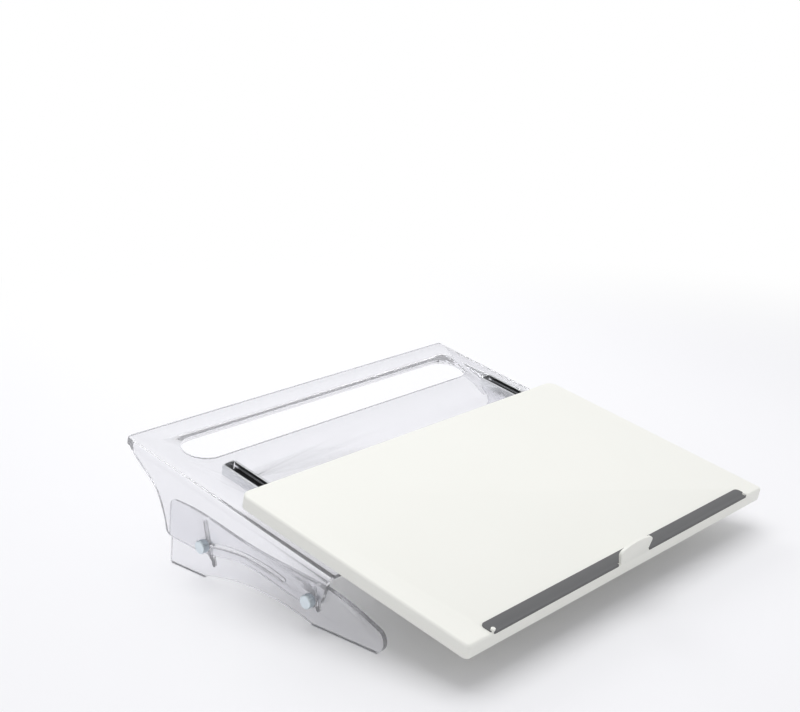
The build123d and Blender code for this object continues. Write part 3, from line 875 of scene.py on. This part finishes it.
def bolt_profile(long, head):
    """From the bottom of the socket over the domed head and down the ringed shank."""
    profile = rings("round", (SOCKET_DEPTH, 0))
    profile += rings("hex", (SOCKET_DEPTH, SOCKET), (SOCKET_MOUTH[0], SOCKET))
    profile += rings("round", (0, SOCKET + SOCKET_MOUTH[1]))
    profile += rings("round", *[(depth, head * part) for depth, part in HEAD_DOME])
    profile += rings("round", (HEAD_HEIGHT - HEAD_CHAMFER, head),
                     (HEAD_HEIGHT, head - HEAD_CHAMFER), (HEAD_HEIGHT, SHANK))
    for turn in range(int((long - THREAD_FROM - THREAD_MARGIN) / THREAD_PITCH)):
        crest = THREAD_FROM + turn * THREAD_PITCH
        profile += rings("round", (crest, SHANK))
        profile += rings("round", *[(crest + part * THREAD_PITCH, SHANK - THREAD_DEPTH)
                                    for part in THREAD_VALLEY])
    profile += rings("round", (long - SHANK_CHAMFER[0], SHANK), (long, SHANK - SHANK_CHAMFER[1]),
                     (long, 0))
    return profile


for side in SIDES:
    for end in ENDS:
        name = side + "_" + end + "_bolt"
        foot, out, long, head = lathe_place(name)
        bm = bmesh.new()
        turned(bm, foot, out, bolt_profile(long, head), BOLT_STEPS)
        bolt = new_piece(name + "_turned", bm, screw_steel, body_of_node[name], "bolt_steel", name)
        shade(bolt, SCREW_SMOOTH_BELOW)
        print(name, "faces", len(bolt.data.polygons))

# %% [markdown]
# The little screws sit in rows inside the slides: countersunk ones hold the channel, where
# nothing may stand proud, and pan heads hold the runner. Each CAD node holds three of them, so
# its mesh is split into separate islands to find where they stand, and a turned screw goes in
# each place. Their profiles are given as a distance from the head's face and a radius.

# %% Screws
SCREW_SHANK = 1.48 * MM
SCREW_TIP = 1.1 * MM
SCREW_TIP_LENGTH = 0.4 * MM
CROSS_FLOOR = (0.9 * MM, 0)
SUNK_CROSS = ((0.8 * MM, 1.3 * MM), (0.05 * MM, 1.5 * MM))
SUNK_HEAD = ((0, 2.0 * MM), (0.02 * MM, 2.6 * MM), (0.1 * MM, 2.68 * MM))
SUNK_HEAD_HEIGHT = 1.2 * MM
PAN_CROSS = ((0.8 * MM, 1.3 * MM), (0.08 * MM, 1.5 * MM))
PAN_HEAD = ((0, 1.8 * MM), (0.2 * MM, 2.3 * MM), (0.6 * MM, 2.6 * MM), (1.1 * MM, 2.7 * MM),
            (1.6 * MM, 2.7 * MM))
PAN_HEAD_HEIGHT = 1.6 * MM
SCREW_STEPS = 32


def islands(node):
    """The separate solids of a CAD node, each as a list of points."""
    bm = merged_copy(node)
    left = set(bm.verts)
    found = []
    while left:
        wave = [left.pop()]
        points = []
        while wave:
            vert = wave.pop()
            points.append(vert.co.copy())
            for edge in vert.link_edges:
                other = edge.other_vert(vert)
                if other in left:
                    left.remove(other)
                    wave.append(other)
        found.append(points)
    bm.free()
    return found


def corners(points):
    """The low and the high corner of the box round some points."""
    return [Vector([pick(p[axis] for p in points) for axis in range(3)]) for pick in (min, max)]


def screws(node, head_up, cross, head, head_height):
    """Turned screws in place of a CAD node's own, heads up or down the slope's normal."""
    bm = bmesh.new()
    for points in islands(node):
        low_corner, high_corner = corners(slope_of(points))
        middle_u = (low_corner.x + high_corner.x) / 2
        middle_v = (low_corner.y + high_corner.y) / 2
        top = high_corner.z if head_up else low_corner.z
        long = high_corner.z - low_corner.z
        foot = SLOPE @ Vector((middle_u, middle_v, top))
        profile = rings("round", CROSS_FLOOR) + rings("cross", *cross) + rings("round", *head)
        profile += rings("round", (head_height, SCREW_SHANK),
                         (long - SCREW_TIP_LENGTH, SCREW_SHANK), (long, SCREW_TIP), (long, 0))
        turned(bm, foot, -OFF_BOARD if head_up else OFF_BOARD, profile, SCREW_STEPS)
    piece = new_piece(node + "_turned", bm, screw_steel, body_of_node[node], "bolt_steel", node)
    shade(piece, SCREW_SMOOTH_BELOW)
    print(node, "faces", len(piece.data.polygons))


for side in SIDES:
    screws(side + "_channel_screws", True, SUNK_CROSS, SUNK_HEAD, SUNK_HEAD_HEIGHT)
    screws(side + "_runner_screws", False, PAN_CROSS, PAN_HEAD, PAN_HEAD_HEIGHT)

# %% [markdown]
# Ten steel balls roll in each slide. A CAD ball is a coarse ball once it is made of triangles, so
# each is replaced by an icosphere of the same size in the same place. An icosphere has no poles,
# so a polished ball mirrors the room evenly from all sides.

# %% Balls
BALL_SUBDIVISIONS = 4
BALL_SMOOTH_BELOW = 60
for side in SIDES:
    node = side + "_rail_balls"
    bm = bmesh.new()
    for points in islands(node):
        low_corner, high_corner = corners(points)
        size = max(high_end - low_end for high_end, low_end in zip(high_corner, low_corner))
        middle = [(high_end + low_end) / 2 for high_end, low_end in zip(high_corner, low_corner)]
        bmesh.ops.create_icosphere(bm, subdivisions=BALL_SUBDIVISIONS, radius=size / 2,
                                   matrix=Matrix.Translation(middle))
    balls = new_piece(node + "_round", bm, ball_chrome, body_of_node[node], "ball_steel", node)
    shade(balls, BALL_SMOOTH_BELOW)
    print(node, "faces", len(balls.data.polygons))
